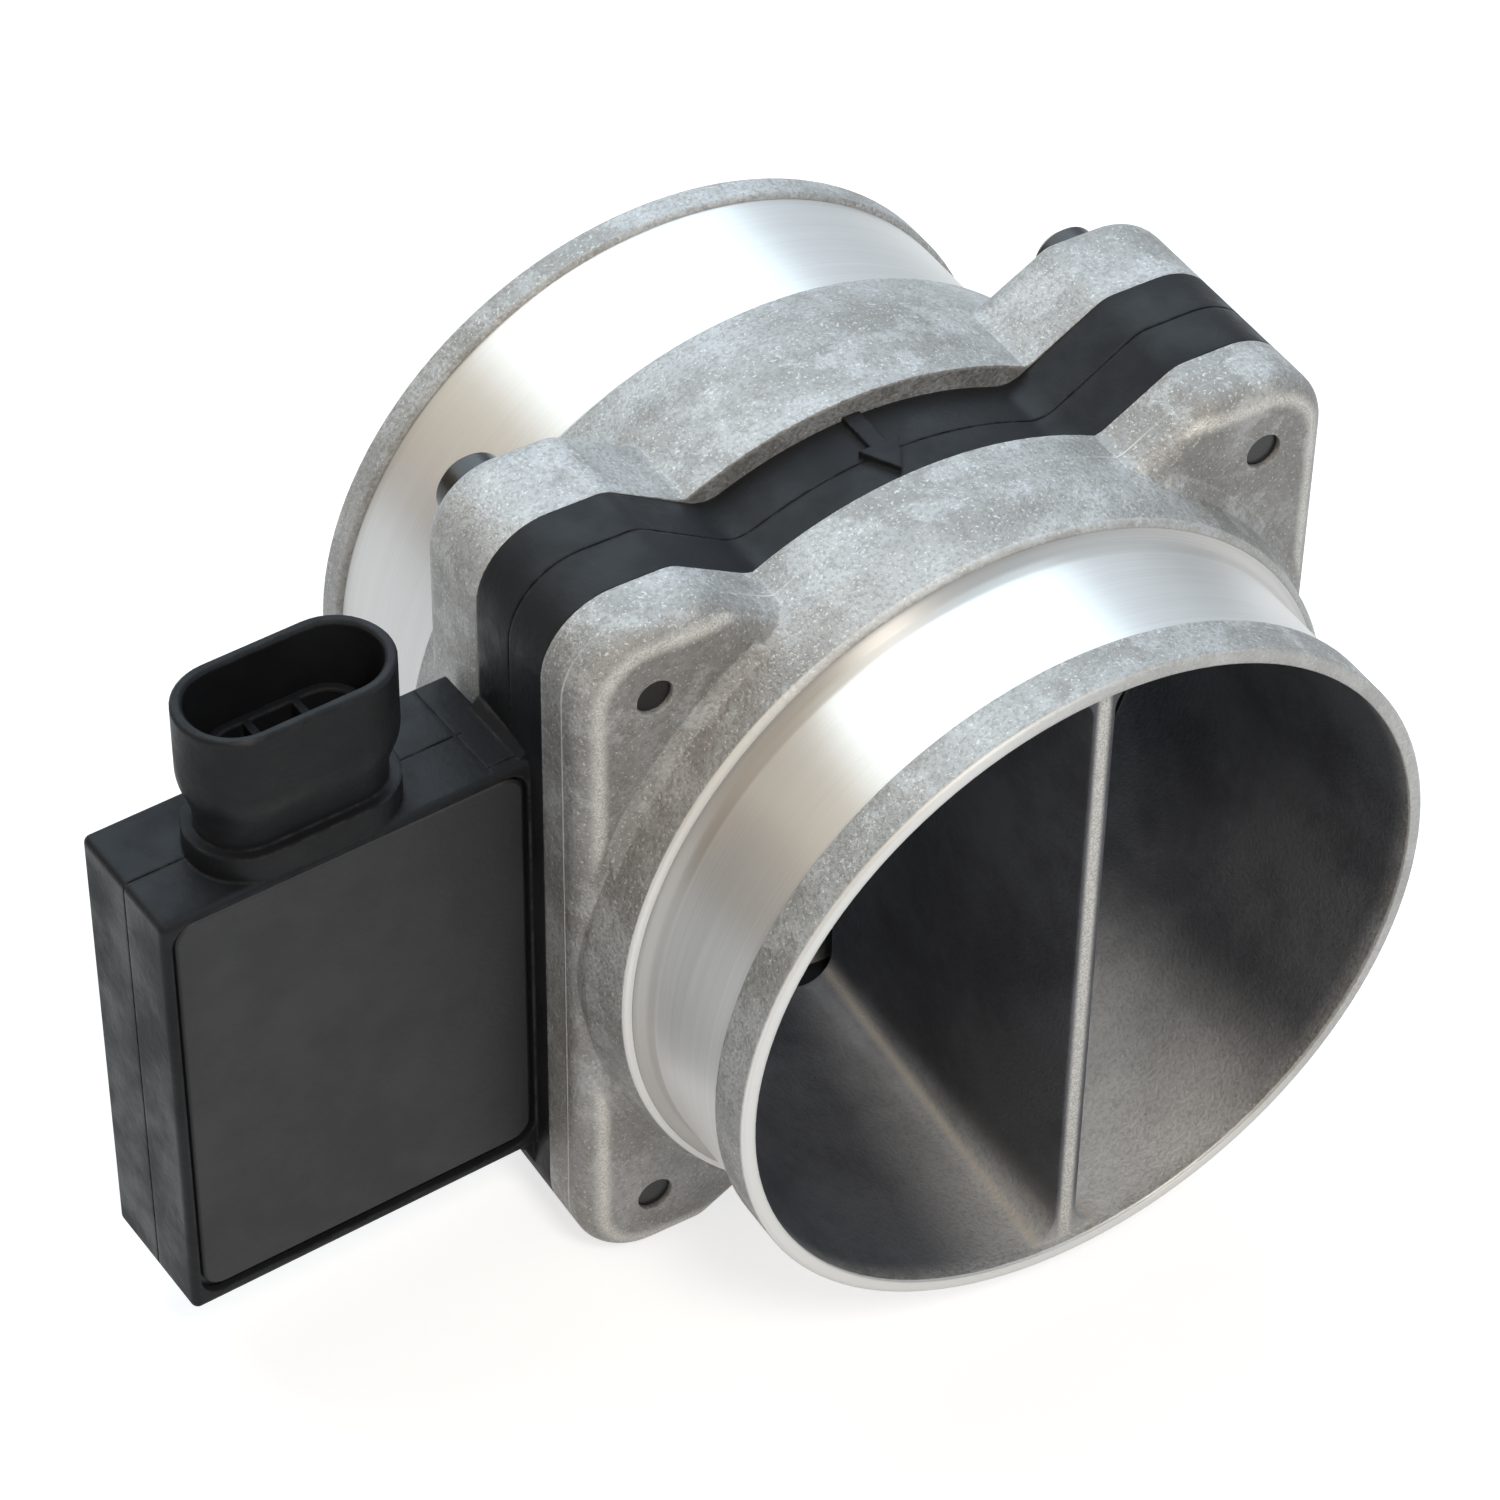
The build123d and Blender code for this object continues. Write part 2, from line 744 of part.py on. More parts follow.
# Lid over the module box
with BuildPart() as module_lid:
    with BuildSketch(module_section(lid_back)):
        add(plate_face(lid_left, lid_right, lid_bottom, lid_top, lid_corner))
    extrude(amount=lid_thickness)
    chamfer(module_lid.edges().group_by(module_across)[0], part_chamfer)

# Bead of sealant under and around the lid
with BuildPart() as lid_sealant:
    with BuildSketch(module_section(ledge)):
        add(plate_face(recess_left, recess_right, recess_bottom, recess_top, recess_corner))
        add(
            plate_face(cavity_left, cavity_right, cavity_bottom, cavity_top, cavity_corner),
            mode=Mode.SUBTRACT,
        )
    extrude(amount=ledge - lid_back)
    with BuildSketch(module_section(lid_back)):
        add(plate_face(recess_left, recess_right, recess_bottom, recess_top, recess_corner))
        add(
            plate_face(lid_left, lid_right, lid_bottom, lid_top, lid_corner),
            mode=Mode.SUBTRACT,
        )
    extrude(amount=lid_back - box_front - bead_sink)

# Heat sink: plate under the board, a tongue through the window, fins in the air
with BuildPart() as heat_sink:
    with BuildSketch(module_section(seat_back)):
        with Locations(((sink_left + sink_right) / 2, (sink_top + sink_bottom) / 2)):
            Rectangle(sink_right - sink_left, sink_top - sink_bottom)
        with Locations(((sink_right + tongue_reach) / 2, 0)):
            Rectangle(tongue_reach - sink_right, 2 * tongue_half)
    extrude(amount=sink_thickness)
    fin_pitch = (2 * tongue_half - fin_thickness) / (fin_count - 1)
    with BuildSketch(module_section(seat_back)):
        with Locations((tongue_reach - fin_length / 2, 0)):
            with GridLocations(1, fin_pitch, 1, fin_count):
                Rectangle(fin_length, fin_thickness)
    extrude(amount=-fin_height)

# Circuit board bonded to the heat sink
with BuildPart() as circuit_board:
    with BuildSketch(module_section(sink_front)):
        add(plate_face(board_left, board_right, board_bottom, board_top, 1.0))
    extrude(amount=board_thickness)

# Parts soldered on the board
with BuildPart() as control_chip:
    with BuildSketch(module_section(board_front)):
        with Locations(((board_left + board_right) / 2 - chip_side / 4, board_bottom + chip_side * 1.7)):
            Rectangle(chip_side, chip_side)
    extrude(amount=chip_height)
    chamfer(control_chip.edges().group_by(module_across)[0], part_chamfer)

transistor_along = (
    -connector_out - terminal_pitch - (blade_width + transistor_side) / 2 - transistor_gap
)
with BuildPart() as power_transistor:
    with BuildSketch(module_section(board_front)):
        with Locations((transistor_along, board_top - transistor_side * 1.4)):
            Rectangle(transistor_side, transistor_side)
    extrude(amount=transistor_height)
    chamfer(power_transistor.edges().group_by(module_across)[0], part_chamfer)

with BuildPart() as capacitors:
    with BuildSketch(module_section(board_front)):
        with Locations((board_right - capacitor_radius * 3, board_bottom + capacitor_radius * 3)):
            with GridLocations(capacitor_radius * 3, 1, 3, 1):
                Circle(capacitor_radius)
    extrude(amount=capacitor_height)
    chamfer(capacitors.edges().group_by(module_across)[0], part_chamfer)


def terminal_blade(order):
    """Terminal: a foot on the board, a jog clear of its edge, and a blade into the socket."""
    jog_z = board_top + jog_clearance
    half = blade_thickness / 2
    with BuildPart(mode=Mode.PRIVATE) as blade:
        with BuildSketch(module_end(order * terminal_pitch - connector_out - blade_width / 2)):
            with BuildLine():
                Polyline(
                    (board_front - blade_thickness, board_top - foot_length),
                    (board_front, board_top - foot_length),
                    (board_front, jog_z),
                    (connector_across + half, jog_z),
                    (connector_across + half, socket_floor + blade_height),
                    (connector_across - half, socket_floor + blade_height),
                    (connector_across - half, jog_z + blade_thickness),
                    (board_front - blade_thickness, jog_z + blade_thickness),
                    close=True,
                )
            make_face()
        extrude(amount=blade_width)
        chamfer(blade.edges().group_by(Axis.Z)[-1], part_chamfer)
    return blade.part


terminal_shapes = [terminal_blade(order) for order in (-1, 0, 1)]

with BuildPart() as terminal_1:
    add(terminal_shapes[0])

with BuildPart() as terminal_2:
    add(terminal_shapes[1])

with BuildPart() as terminal_3:
    add(terminal_shapes[2])

# Heights of the six leads: two for each heated element and two for the temperature bead
lead_heights = (
    heated_offset + heated_spread,
    heated_offset - heated_spread,
    bead_spread,
    -bead_spread,
    -heated_offset + heated_spread,
    -heated_offset - heated_spread,
)

# Carrier: moulded block on the tongue that holds the leads in the left passage
with BuildPart() as element_carrier:
    with BuildSketch(module_section(sink_front)):
        with Locations(((carrier_back + carrier_reach) / 2, 0)):
            Rectangle(carrier_reach - carrier_back, 2 * tongue_half)
    extrude(amount=sink_front - window_front - window_clearance)
    tip_edges = element_carrier.edges().filter_by(module_across).group_by(module_along)[-1]
    fillet(tip_edges, lead_size)
    with BuildSketch(module_end(carrier_back)):
        for height in lead_heights:
            with Locations((lead_level, height)):
                Rectangle(lead_size, lead_size)
    extrude(amount=carrier_reach - carrier_back, mode=Mode.SUBTRACT)


def lead_bar(height):
    """Square lead from its pad on the board, through the carrier, to the element."""
    with BuildPart(mode=Mode.PRIVATE) as lead:
        with BuildSketch(module_end(board_right - lead_overlap)):
            with Locations((lead_level, height)):
                Rectangle(lead_size, lead_size)
        extrude(amount=element_reach + lead_overlap - board_right)
    return lead.part


lead_shapes = [lead_bar(height) for height in lead_heights]

with BuildPart() as element_lead_1:
    add(lead_shapes[0])

with BuildPart() as element_lead_2:
    add(lead_shapes[1])

with BuildPart() as element_lead_3:
    add(lead_shapes[2])

with BuildPart() as element_lead_4:
    add(lead_shapes[3])

with BuildPart() as element_lead_5:
    add(lead_shapes[4])

with BuildPart() as element_lead_6:
    add(lead_shapes[5])

# Sensing elements across the lead tips
with BuildPart() as heated_element_1:
    with BuildSketch(module_end(element_reach)):
        with Locations((lead_level, heated_offset)):
            Rectangle(lead_size, heated_side)
    extrude(amount=heated_side)

with BuildPart() as heated_element_2:
    with BuildSketch(module_end(element_reach)):
        with Locations((lead_level, -heated_offset)):
            Rectangle(lead_size, heated_side)
    extrude(amount=heated_side)

with BuildPart() as air_temperature_element:
    with BuildSketch(module_end(element_reach)):
        with Locations((lead_level, 0)):
            Circle(bead_radius)
    extrude(amount=bead_length)
    chamfer(air_temperature_element.edges().group_by(module_along)[-1], bead_radius / 3)

nodes = {
    "outlet_housing": outlet_housing,
    "inlet_housing": inlet_housing,
    "sensor_body": sensor_body,
    "outlet_seal": outlet_seal,
    "inlet_seal": inlet_seal,
    "housing_screws": housing_screws,
    "module_lid": module_lid,
    "lid_sealant": lid_sealant,
    "heat_sink": heat_sink,
    "circuit_board": circuit_board,
    "control_chip": control_chip,
    "power_transistor": power_transistor,
    "capacitors": capacitors,
    "terminal_1": terminal_1,
    "terminal_2": terminal_2,
    "terminal_3": terminal_3,
    "element_carrier": element_carrier,
    "element_lead_1": element_lead_1,
    "element_lead_2": element_lead_2,
    "element_lead_3": element_lead_3,
    "element_lead_4": element_lead_4,
    "element_lead_5": element_lead_5,
    "element_lead_6": element_lead_6,
    "heated_element_1": heated_element_1,
    "heated_element_2": heated_element_2,
    "air_temperature_element": air_temperature_element,
}

os.makedirs("parts", exist_ok=True)
for name, builder in nodes.items():
    builder.part.label = name
    export_step(builder.part, "parts/" + name + ".step")
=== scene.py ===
import bpy
import json
from mathutils import Matrix, Vector


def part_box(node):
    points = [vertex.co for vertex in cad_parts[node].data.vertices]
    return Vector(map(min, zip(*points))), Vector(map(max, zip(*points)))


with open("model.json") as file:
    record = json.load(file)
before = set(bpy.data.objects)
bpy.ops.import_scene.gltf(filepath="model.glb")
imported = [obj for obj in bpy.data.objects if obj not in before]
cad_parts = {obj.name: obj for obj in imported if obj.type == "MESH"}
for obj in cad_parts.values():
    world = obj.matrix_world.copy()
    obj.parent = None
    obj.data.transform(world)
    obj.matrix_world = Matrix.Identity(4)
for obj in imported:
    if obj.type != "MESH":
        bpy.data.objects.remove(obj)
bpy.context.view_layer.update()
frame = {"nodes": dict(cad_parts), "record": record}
scene = bpy.context.scene

# Places read from the CAD nodes, in metres
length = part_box("inlet_housing")[1].y
floor_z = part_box("outlet_housing")[0].z

# Spans along the bore, in metres: the outlet's, then the inlet's
BANDS = ((0.0066, 0.0239), (length - 0.0272, length - 0.0042))
STEP_RINGS = ((0.0235, 0.0246), (length - 0.0276, length - 0.0267))
RUN_OUTS = ((0.0216, 0.0240), (length - 0.0273, length - 0.0249))
EAR_FACES = ((0.0305, 0.0322), (length - 0.0369, length - 0.0352))
PARTING_LINE = (0.03540, 0.03570)

# Spans of distance from the bore's axis, in metres
BAND_RADII = (0.0489, 0.0511)
STEP_RADII = (0.0511, 0.0521)
LIP_RADII = (0.0476, 0.0479)
BORE_RADII = (0.0478, 0.0482)

# The flanges' outline is a square of this half size with rounded corners round it
FLANGE_CORNER = 0.0437


class Nodes:
    """Short calls that add nodes to one tree."""

    def __init__(self, tree):
        self.tree = tree
        tree.nodes.clear()

    def add(self, kind):
        return self.tree.nodes.new(kind)

    def link(self, a, b):
        self.tree.links.new(a, b)

    def put(self, value, socket):
        if isinstance(value, bpy.types.NodeSocket):
            self.link(value, socket)
        else:
            socket.default_value = value

    def math(self, operation, a, b=0.0):
        n = self.add("ShaderNodeMath")
        n.operation = operation
        self.put(a, n.inputs[0])
        self.put(b, n.inputs[1])
        return n.outputs[0]

    def times(self, first, *others):
        for value in others:
            first = self.math("MULTIPLY", first, value)
        return first

    def plus(self, a, b):
        return self.math("ADD", a, b)

    def most(self, a, b):
        return self.math("MAXIMUM", a, b)

    def reach(self, a, b):
        """Length of a step a across and b up."""
        return self.math("SQRT", self.plus(self.times(a, a), self.times(b, b)))

    def ramp(self, value, low, high, out_low=0.0, out_high=1.0):
        """Smooth step of a value, from out_low at low to out_high at high."""
        n = self.add("ShaderNodeMapRange")
        n.interpolation_type = "SMOOTHSTEP"
        self.put(value, n.inputs["Value"])
        n.inputs["From Min"].default_value = low
        n.inputs["From Max"].default_value = high
        n.inputs["To Min"].default_value = out_low
        n.inputs["To Max"].default_value = out_high
        return n.outputs[0]

    def window(self, value, span, edge):
        """1 inside a span, 0 outside it, with soft edges."""
        low, high = span
        up = self.ramp(value, low - edge, low + edge)
        down = self.ramp(value, high - edge, high + edge, 1.0, 0.0)
        return self.times(up, down)

    def windows(self, value, spans, edge):
        """1 inside either of two spans."""
        first, second = spans
        return self.plus(self.window(value, first, edge), self.window(value, second, edge))

    def mix(self, share, a, b):
        """Mix of two colours or colour sockets."""
        n = self.add("ShaderNodeMix")
        n.data_type = "RGBA"
        self.put(share, n.inputs[0])
        for value, socket in ((a, n.inputs[6]), (b, n.inputs[7])):
            self.put((*value, 1.0) if isinstance(value, tuple) else value, socket)
        return n.outputs[2]

    def blend(self, share, a, b):
        """Mix of two plain numbers or number sockets."""
        n = self.add("ShaderNodeMix")
        n.data_type = "FLOAT"
        self.put(share, n.inputs[0])
        self.put(a, n.inputs[2])
        self.put(b, n.inputs[3])
        return n.outputs[0]


class Shader(Nodes):
    """One material with a Principled shader."""

    def __init__(self, name):
        self.mat = bpy.data.materials.new(name)
        self.mat.use_nodes = True
        super().__init__(self.mat.node_tree)
        self.out = self.add("ShaderNodeOutputMaterial")
        self.bsdf = self.add("ShaderNodeBsdfPrincipled")
        self.link(self.bsdf.outputs[0], self.out.inputs["Surface"])
        self.place = self.add("ShaderNodeTexCoord").outputs["Object"]

    def noise(self, scale, detail=3.0, rough=0.5, stretch=None):
        n = self.add("ShaderNodeTexNoise")
        n.inputs["Scale"].default_value = scale
        n.inputs["Detail"].default_value = detail
        n.inputs["Roughness"].default_value = rough
        at = self.place
        if stretch:
            m = self.add("ShaderNodeMapping")
            m.inputs["Scale"].default_value = stretch
            self.link(at, m.inputs["Vector"])
            at = m.outputs[0]
        self.link(at, n.inputs["Vector"])
        return n.outputs["Fac"]

    def bump(self, height, distance, strength, normal):
        n = self.add("ShaderNodeBump")
        n.inputs["Strength"].default_value = strength
        n.inputs["Distance"].default_value = distance
        self.link(height, n.inputs["Height"])
        self.link(normal, n.inputs["Normal"])
        return n.outputs[0]

    def bevel(self, radius):
        n = self.add("ShaderNodeBevel")
        n.samples = 3
        n.inputs["Radius"].default_value = radius
        return n.outputs[0]

    def edges(self, soft):
        """Near 1 on sharp edges, where the rounded normal leaves the true one, 0 elsewhere."""
        n = self.add("ShaderNodeVectorMath")
        n.operation = "DOT_PRODUCT"
        self.link(soft, n.inputs[0])
        self.link(self.add("ShaderNodeNewGeometry").outputs["Normal"], n.inputs[1])
        return self.ramp(n.outputs["Value"], 0.80, 0.99, 1.0, 0.0)

    def set(self, **sockets):
        for key, value in sockets.items():
            self.put(value, self.bsdf.inputs[key.replace("_", " ")])


def turned_masks(s, x, y, z, r):
    """Machined bands, the bright turned faces of rims and steps with a painted highlight on their
    left side, and painted shade in the bands' run-outs.
    """
    fine, hair = 0.00012, 0.0001
    near_band = s.window(r, BAND_RADII, hair)
    band = s.times(near_band, s.windows(y, BANDS, fine))
    end_faces = s.plus(
        s.ramp(y, 0.0002, 0.0005, 1.0, 0.0),
        s.ramp(y, length - 0.0005, length - 0.0002),
    )
    lip = s.times(s.ramp(r, *LIP_RADII), end_faces)
    # Painted highlight: the front lip is painted brightest low on the left and the step ring
    # brightest on the left, where the light falls on them
    painted_lip_highlight = s.ramp(s.plus(x, s.times(z, 0.5)), -0.005, 0.035, 1.0, 0.35)
    ring = s.times(
        s.window(r, STEP_RADII, hair),
        s.windows(y, STEP_RINGS, hair),
        s.ramp(x, -0.040, -0.020, 1.0, 0.25),
    )
    bright_turned_and_highlight = s.most(s.times(lip, painted_lip_highlight), ring)
    run_out_shade = s.times(s.windows(y, RUN_OUTS, 0.0003), near_band)
    return band, bright_turned_and_highlight, run_out_shade


def casting_masks(s, x, y, z, r):
    """The mould's parting line on the outlet flange, and a painted highlight, the floor's reflection,
    along the ears' edge fillets next to their faces.
    """
    seam = s.times(
        s.window(y, PARTING_LINE, 0.00010),
        s.ramp(z, 0.0460, 0.0510, 0.80, 0.12),
        s.ramp(r, 0.0532, 0.0536),
    )
    over_x = s.most(s.math("SUBTRACT", s.math("ABSOLUTE", x), FLANGE_CORNER), 0.0)
    over_z = s.most(s.math("SUBTRACT", s.math("ABSOLUTE", z), FLANGE_CORNER), 0.0)
    fillet_highlight = s.times(
        s.windows(y, EAR_FACES, 0.0004),
        s.window(s.reach(over_x, over_z), (0.0066, 0.0082), 0.0007),
        s.ramp(r, 0.0545, 0.0560),
    )
    return seam, fillet_highlight


def vane_masks(s, x, y, z, bore):
    """Painted highlights: on the vane's front edge and along the fillets at its foot."""
    off_middle = s.math("ABSOLUTE", x)
    nose_highlight = s.times(
        s.ramp(off_middle, 0.0004, 0.0013, 1.0, 0.0),
        s.ramp(y, 0.0020, 0.0030, 1.0, 0.0),
        bore,
    )
    root_highlight = s.times(
        s.window(off_middle, (0.0039, 0.0048), 0.0006),
        s.ramp(z, -0.0405, -0.0375, 1.0, 0.0),
        bore,
        s.ramp(y, 0.055, 0.070, 1.0, 0.0),
    )
    return nose_highlight, root_highlight


def cast_aluminium():
    """Sandy casting with machined bands, bright turned edges, and a bore painted dark as shade, with
    painted light and highlights inside.
    """
    s = Shader("cast_aluminium")
    axes = s.add("ShaderNodeSeparateXYZ")
    s.link(s.place, axes.inputs[0])
    x, y, z = axes.outputs
    r = s.reach(x, z)
    band, bright_turned_and_highlight, run_out_shade = turned_masks(s, x, y, z, r)
    turned = s.most(band, bright_turned_and_highlight)
    bore = s.ramp(r, *BORE_RADII, 1.0, 0.0)
    seam, fillet_highlight = casting_masks(s, x, y, z, r)
    nose_highlight, root_highlight = vane_masks(s, x, y, z, bore)
    soft = s.bevel(0.0008)

    grain = s.noise(1700.0, 4.0, 0.62)
    fine = s.noise(4200.0, 2.0, 0.5)
    cloud = s.noise(42.0, 5.0, 0.66)
    smear = s.noise(150.0, 5.0, 0.62)
    speck = s.ramp(s.noise(2300.0, 2.0, 0.6), 0.60, 0.68)
    pit = s.ramp(s.noise(900.0, 3.0, 0.6), 0.30, 0.38, 1.0, 0.0)
    lines = s.noise(1.0, 2.0, 0.6, stretch=(30.0, 9000.0, 30.0))
    wide_lines = s.noise(1.0, 2.0, 0.6, stretch=(6.0, 900.0, 6.0))

    # Sandy outside: clouds, smears, dark grains, light specks, edges lightened partly as wear and
    # partly as painted highlight, the parting line, and a painted highlight along the ear fillets
    cast = s.mix(s.ramp(cloud, 0.36, 0.62), (0.315, 0.309, 0.302), (0.480, 0.486, 0.492))
    cast = s.mix(s.ramp(smear, 0.50, 0.60, 0.0, 0.50), cast, (0.600, 0.612, 0.625))
    cast = s.mix(s.ramp(grain, 0.36, 0.56, 0.45, 0.0), cast, (0.195, 0.172, 0.148))
    cast = s.mix(s.times(speck, 0.55), cast, (0.84, 0.84, 0.83))
    edge_wear_and_highlight = s.times(s.edges(soft), s.ramp(grain, 0.34, 0.60, 0.25, 0.85))
    cast = s.mix(edge_wear_and_highlight, cast, (0.72, 0.71, 0.69))
    cast = s.mix(s.times(seam, 0.90), cast, (0.84, 0.81, 0.75))
    # Painted highlight: the floor's reflection along the ears' edge fillets, broken up by grain
    broken_fillet_highlight = s.times(fillet_highlight, s.ramp(fine, 0.36, 0.60, 0.35, 0.85))
    cast = s.mix(broken_fillet_highlight, cast, (0.84, 0.82, 0.78))

    # Bore: a dark base as painted shade, painted light low down, pits, dark grains and painted
    # highlights on the vane
    inside = s.mix(s.ramp(cloud, 0.34, 0.64), (0.064, 0.067, 0.080), (0.125, 0.131, 0.148))
    # Painted light: the bore's floor painted pale where light falls in from the front
    painted_floor_light = s.mix(s.ramp(cloud, 0.34, 0.64), (0.640, 0.640, 0.640), (0.820, 0.820, 0.820))
    floor_light_height = s.math("SUBTRACT", z, s.times(x, 0.25))
    inside = s.mix(s.ramp(floor_light_height, -0.0525, -0.0380), painted_floor_light, inside)
    inside = s.mix(s.times(pit, 0.15), inside, (0.055, 0.052, 0.052))
    inside = s.mix(s.ramp(grain, 0.36, 0.56, 0.18, 0.0), inside, (0.045, 0.044, 0.048))
    # Painted highlights: a warm line along the vane's foot fillets and a bright line on its front
    # edge
    inside = s.mix(s.times(root_highlight, 0.60), inside, (0.62, 0.56, 0.48))
    edge_highlight_colour = s.mix(s.ramp(fine, 0.38, 0.62), (0.58, 0.57, 0.55), (0.88, 0.87, 0.85))
    inside = s.mix(nose_highlight, inside, edge_highlight_colour)

    # Turned faces: fine and wide lathe lines, painted shade in the run-out knee, and bright lips and
    # rings with a painted highlight
    metal = s.mix(s.ramp(lines, 0.35, 0.68), (0.720, 0.714, 0.708), (0.785, 0.780, 0.775))
    metal = s.mix(s.ramp(wide_lines, 0.40, 0.64, 0.0, 0.12), metal, (0.68, 0.665, 0.64))
    # Painted shade in the concave knee of the run-out, darker on the left
    painted_knee_shade = s.times(run_out_shade, s.ramp(x, -0.010, 0.020, 0.62, 0.25))
    metal = s.mix(painted_knee_shade, metal, (0.36, 0.345, 0.325))
    metal = s.mix(bright_turned_and_highlight, metal, (0.90, 0.90, 0.89))

    cast_rough = s.ramp(grain, 0.3, 0.7, 0.50, 0.62)
    turned_rough = s.ramp(lines, 0.3, 0.7, 0.38, 0.44)
    s.set(
        Base_Color=s.mix(turned, s.mix(bore, cast, inside), metal),
        Roughness=s.blend(turned, cast_rough, turned_rough),
        Metallic=s.blend(turned, s.blend(bore, 0.45, 0.25), s.blend(band, 0.45, 0.64)),
    )

    # Lathe lines run round the axis, so the bands spread what they mirror along it
    around = s.add("ShaderNodeTangent")
    around.direction_type = "RADIAL"
    around.axis = "Y"
    s.set(
        Tangent=around.outputs[0],
        Anisotropic=s.times(band, 0.85),
        Anisotropic_Rotation=0.25,
    )

    relief = s.plus(s.times(grain, 0.75), s.times(fine, 0.25))
    relief = s.blend(turned, relief, s.times(lines, 0.02))
    relief = s.plus(relief, s.times(seam, 0.8))
    s.set(Normal=s.bump(relief, 0.00030, 0.85, soft))
    return s.mat


def plastic(name, dark, light, rough, depth, grain_scale=900.0, bevel=0.0003, gloss=0.5, wear_and_edge_highlight=0.0):
    """Moulded plastic: slow tone changes, fine texture and soft edges."""
    s = Shader(name)
    colour = s.mix(s.ramp(s.noise(45.0, 4.0, 0.6), 0.32, 0.68), dark, light)
    soft = s.bevel(bevel)
    # Edges lightened partly as wear and partly as painted highlight
    if wear_and_edge_highlight:
        edge_highlight_colour = tuple(min(1.0, 2.6 * v + 0.012) for v in light)
        patches = s.ramp(s.noise(380.0, 4.0, 0.6), 0.40, 0.62, 0.0, wear_and_edge_highlight)
        colour = s.mix(s.times(s.edges(soft), patches), colour, edge_highlight_colour)
    s.set(
        Base_Color=colour,
        Roughness=s.ramp(s.noise(85.0, 5.0, 0.6), 0.36, 0.64, *rough),
        Normal=s.bump(s.noise(grain_scale, 3.0, 0.6), depth, 0.6, soft),
        Specular_IOR_Level=gloss,
    )
    return s.mat


def metal(name, dark, light, rough, depth, stretch):
    """Drawn, plated or milled metal with lines along one direction."""
    s = Shader(name)
    lines = s.noise(1.0, 3.0, 0.6, stretch=stretch)
    s.set(
        Base_Color=s.mix(s.ramp(lines, 0.3, 0.7), dark, light),
        Roughness=s.ramp(lines, 0.3, 0.7, *rough),
        Metallic=1.0,
        Normal=s.bump(lines, depth, 0.5, s.bevel(0.0002)),
    )
    return s.mat


PLASTICS = {
    "body_plastic": dict(
        dark=(0.0112, 0.0120, 0.0140), light=(0.0186, 0.0200, 0.0230), rough=(0.36, 0.58),
        depth=0.00010, grain_scale=1100.0, bevel=0.0006, gloss=0.14, wear_and_edge_highlight=0.9,
    ),
    "lid_plastic": dict(
        dark=(0.0170, 0.0178, 0.0205), light=(0.0215, 0.0225, 0.0255), rough=(0.52, 0.62),
        depth=0.00008, grain_scale=1300.0,
    ),
    "seal_rubber": dict(
        dark=(0.008, 0.008, 0.008), light=(0.014, 0.014, 0.014), rough=(0.60, 0.75),
        depth=0.00005,
    ),
    "sealant": dict(
        dark=(0.004, 0.004, 0.0045), light=(0.008, 0.008, 0.008), rough=(0.28, 0.42),
        depth=0.00010, grain_scale=300.0,
    ),
    "black_steel": dict(
        dark=(0.008, 0.008, 0.009), light=(0.016, 0.016, 0.018), rough=(0.26, 0.38),
        depth=0.00004, grain_scale=1600.0,
    ),
    "board": dict(
        dark=(0.008, 0.060, 0.022), light=(0.014, 0.085, 0.032), rough=(0.30, 0.42),
        depth=0.00003, grain_scale=2400.0,
    ),
    "chip_plastic": dict(
        dark=(0.010, 0.010, 0.011), light=(0.016, 0.016, 0.017), rough=(0.50, 0.62),
        depth=0.00004, grain_scale=2400.0,
    ),
    "carrier_plastic": dict(
        dark=(0.012, 0.012, 0.013), light=(0.020, 0.020, 0.021), rough=(0.44, 0.56),
        depth=0.00005,
    ),
    "ceramic": dict(
        dark=(0.62, 0.60, 0.54), light=(0.74, 0.72, 0.66), rough=(0.24, 0.34),
        depth=0.00002, grain_scale=2400.0,
    ),
    "bead_glass": dict(
        dark=(0.060, 0.022, 0.010), light=(0.100, 0.038, 0.018), rough=(0.08, 0.16),
        depth=0.00001,
    ),
}
METALS = {
    "plate_aluminium": dict(
        dark=(0.60, 0.61, 0.62), light=(0.74, 0.75, 0.76), rough=(0.30, 0.42),
        depth=0.00002, stretch=(80.0, 80.0, 3000.0),
    ),
    "can_aluminium": dict(
        dark=(0.62, 0.62, 0.63), light=(0.76, 0.76, 0.77), rough=(0.24, 0.34),
        depth=0.00001, stretch=(60.0, 4000.0, 60.0),
    ),
    "terminal_metal": dict(
        dark=(0.52, 0.46, 0.32), light=(0.68, 0.62, 0.48), rough=(0.24, 0.36),
        depth=0.00001, stretch=(3000.0, 3000.0, 60.0),
    ),
    "lead_metal": dict(
        dark=(0.48, 0.47, 0.45), light=(0.64, 0.63, 0.60), rough=(0.24, 0.36),
        depth=0.00001, stretch=(60.0, 3000.0, 3000.0),
    ),
}

materials = {"cast_aluminium": cast_aluminium()}
materials.update((name, plastic(name, **look)) for name, look in PLASTICS.items())
materials.update((name, metal(name, **look)) for name, look in METALS.items())
slots = {part["node"]: part["material_slot"] for part in frame["record"]["subparts"]}
for name, node in frame["nodes"].items():
    for place in node.material_slots:
        place.material = materials[slots[name]]

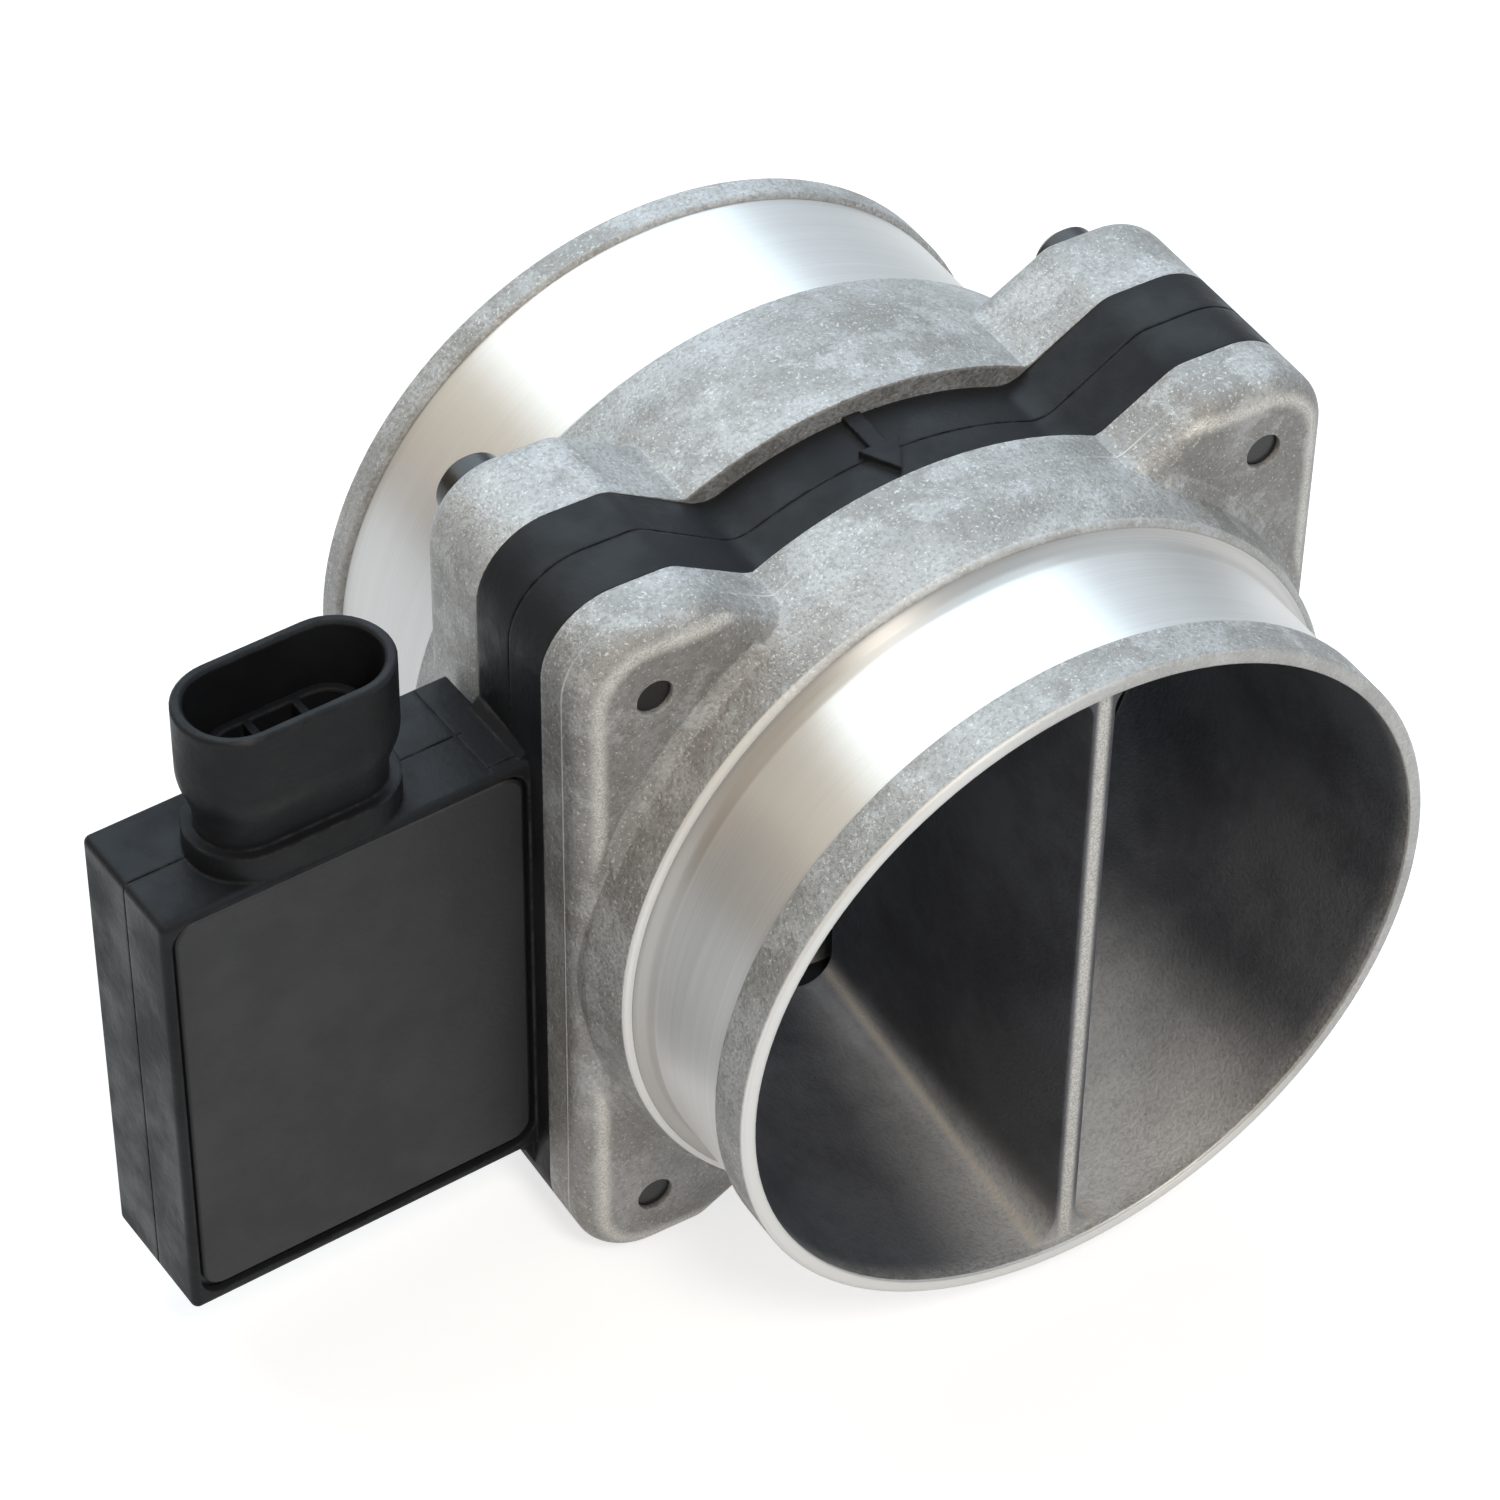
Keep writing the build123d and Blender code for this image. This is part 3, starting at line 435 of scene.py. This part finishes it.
# Camera at the photograph's viewing angle
CAMERA_AT = (-0.27997, -0.36728, 0.47700)
CAMERA_RIGHT = (0.85340, -0.52112, 0.01225)
CAMERA_UP = (0.35220, 0.59377, 0.72348)
CAMERA_BACK = (-0.38429, -0.61309, 0.69025)
camera_data = bpy.data.cameras.new("camera")
camera_data.sensor_width = 36.0
camera_data.lens = 129.9
camera_data.clip_start = 0.01
camera_data.clip_end = 50.0
camera = bpy.data.objects.new("camera", camera_data)
scene.collection.objects.link(camera)
stand = Matrix((CAMERA_RIGHT, CAMERA_UP, CAMERA_BACK)).transposed().to_4x4()
stand.translation = Vector(CAMERA_AT)
camera.matrix_world = stand
scene.camera = camera

# Pale floor that keeps the shadow, shown white to the camera by its own faint glow
FLOOR_HALF = 6.0
FLOOR_DROP = 0.0002
FLOOR_GREY = (0.52, 0.52, 0.52, 1.0)
FLOOR_GLOW = 0.72
FLOOR_GLOW_MIRRORED = 0.85
corners = [(x * FLOOR_HALF, y * FLOOR_HALF, floor_z) for x, y in ((-1, -1), (1, -1), (1, 1), (-1, 1))]
floor_mesh = bpy.data.meshes.new("floor")
floor_mesh.from_pydata(corners, [], [(0, 1, 2, 3)])
floor = bpy.data.objects.new("floor", floor_mesh)
scene.collection.objects.link(floor)
floor.location.z = -FLOOR_DROP
s = Shader("floor")
s.set(Base_Color=FLOOR_GREY, Roughness=0.9, Specular_IOR_Level=0.0)
path = s.add("ShaderNodeLightPath")
seen = s.most(path.outputs["Is Camera Ray"], path.outputs["Is Transmission Ray"])
seen = s.most(seen, s.times(path.outputs["Is Glossy Ray"], FLOOR_GLOW_MIRRORED))
glow = s.add("ShaderNodeEmission")
s.link(s.times(seen, FLOOR_GLOW), glow.inputs["Strength"])
both = s.add("ShaderNodeAddShader")
s.link(s.bsdf.outputs[0], both.inputs[0])
s.link(glow.outputs[0], both.inputs[1])
s.link(both.outputs[0], s.out.inputs["Surface"])
floor_mesh.materials.append(s.mat)

# World: white where it is seen. Mirror rays see a pale studio that is warmer and darker toward
# the left horizon, and all other rays get the same studio as a low light
STUDIO_LIGHT = 0.27
LEFT_LOW, LEFT_HIGH = (0.330, 0.255, 0.200), (0.90, 0.77, 0.58)
RIGHT_LOW, RIGHT_HIGH = (0.440, 0.465, 0.500), (0.80, 0.91, 1.0)
world = bpy.data.worlds.new("world")
scene.world = world
world.use_nodes = True
w = Nodes(world.node_tree)
path = w.add("ShaderNodeLightPath")
heading = w.add("ShaderNodeSeparateXYZ")
w.link(w.add("ShaderNodeTexCoord").outputs["Generated"], heading.inputs[0])
rise = w.ramp(heading.outputs[2], -0.10, 0.62)
across = w.ramp(heading.outputs[0], -0.55, 0.30)
studio = w.mix(across, w.mix(rise, LEFT_LOW, LEFT_HIGH), w.mix(rise, RIGHT_LOW, RIGHT_HIGH))
mirrored = w.add("ShaderNodeBackground")
w.link(studio, mirrored.inputs["Color"])
w.link(w.blend(path.outputs["Is Glossy Ray"], STUDIO_LIGHT, 1.0), mirrored.inputs["Strength"])
plain = w.add("ShaderNodeBackground")
plain.inputs["Color"].default_value = (1.0, 1.0, 1.0, 1.0)
seen = w.most(path.outputs["Is Camera Ray"], path.outputs["Is Transmission Ray"])
either = w.add("ShaderNodeMixShader")
w.link(seen, either.inputs[0])
w.link(mirrored.outputs[0], either.inputs[1])
w.link(plain.outputs[0], either.inputs[2])
w.link(either.outputs[0], w.add("ShaderNodeOutputWorld").inputs["Surface"])


def softbox(name, at, target, size, power, colour):
    """Rectangular lamp at one point, facing another."""
    data = bpy.data.lights.new(name, "AREA")
    data.shape = "RECTANGLE"
    data.size, data.size_y = size
    data.energy = power
    data.color = colour
    lamp = bpy.data.objects.new(name, data)
    scene.collection.objects.link(lamp)
    at, target = Vector(at), Vector(target)
    lamp.location = at
    lamp.rotation_mode = "QUATERNION"
    lamp.rotation_quaternion = (target - at).to_track_quat("-Z", "Y")


middle = (0.0, length / 2, 0.0)
softbox("key", (0.08, 0.85, 1.20), middle, (2.10, 1.25), 21.0, (0.74, 0.89, 1.0))
softbox("fill_front", (-0.16, -0.74, 1.08), middle, (0.35, 0.35), 8.0, (1.0, 0.93, 0.84))

scene.view_settings.view_transform = "Standard"
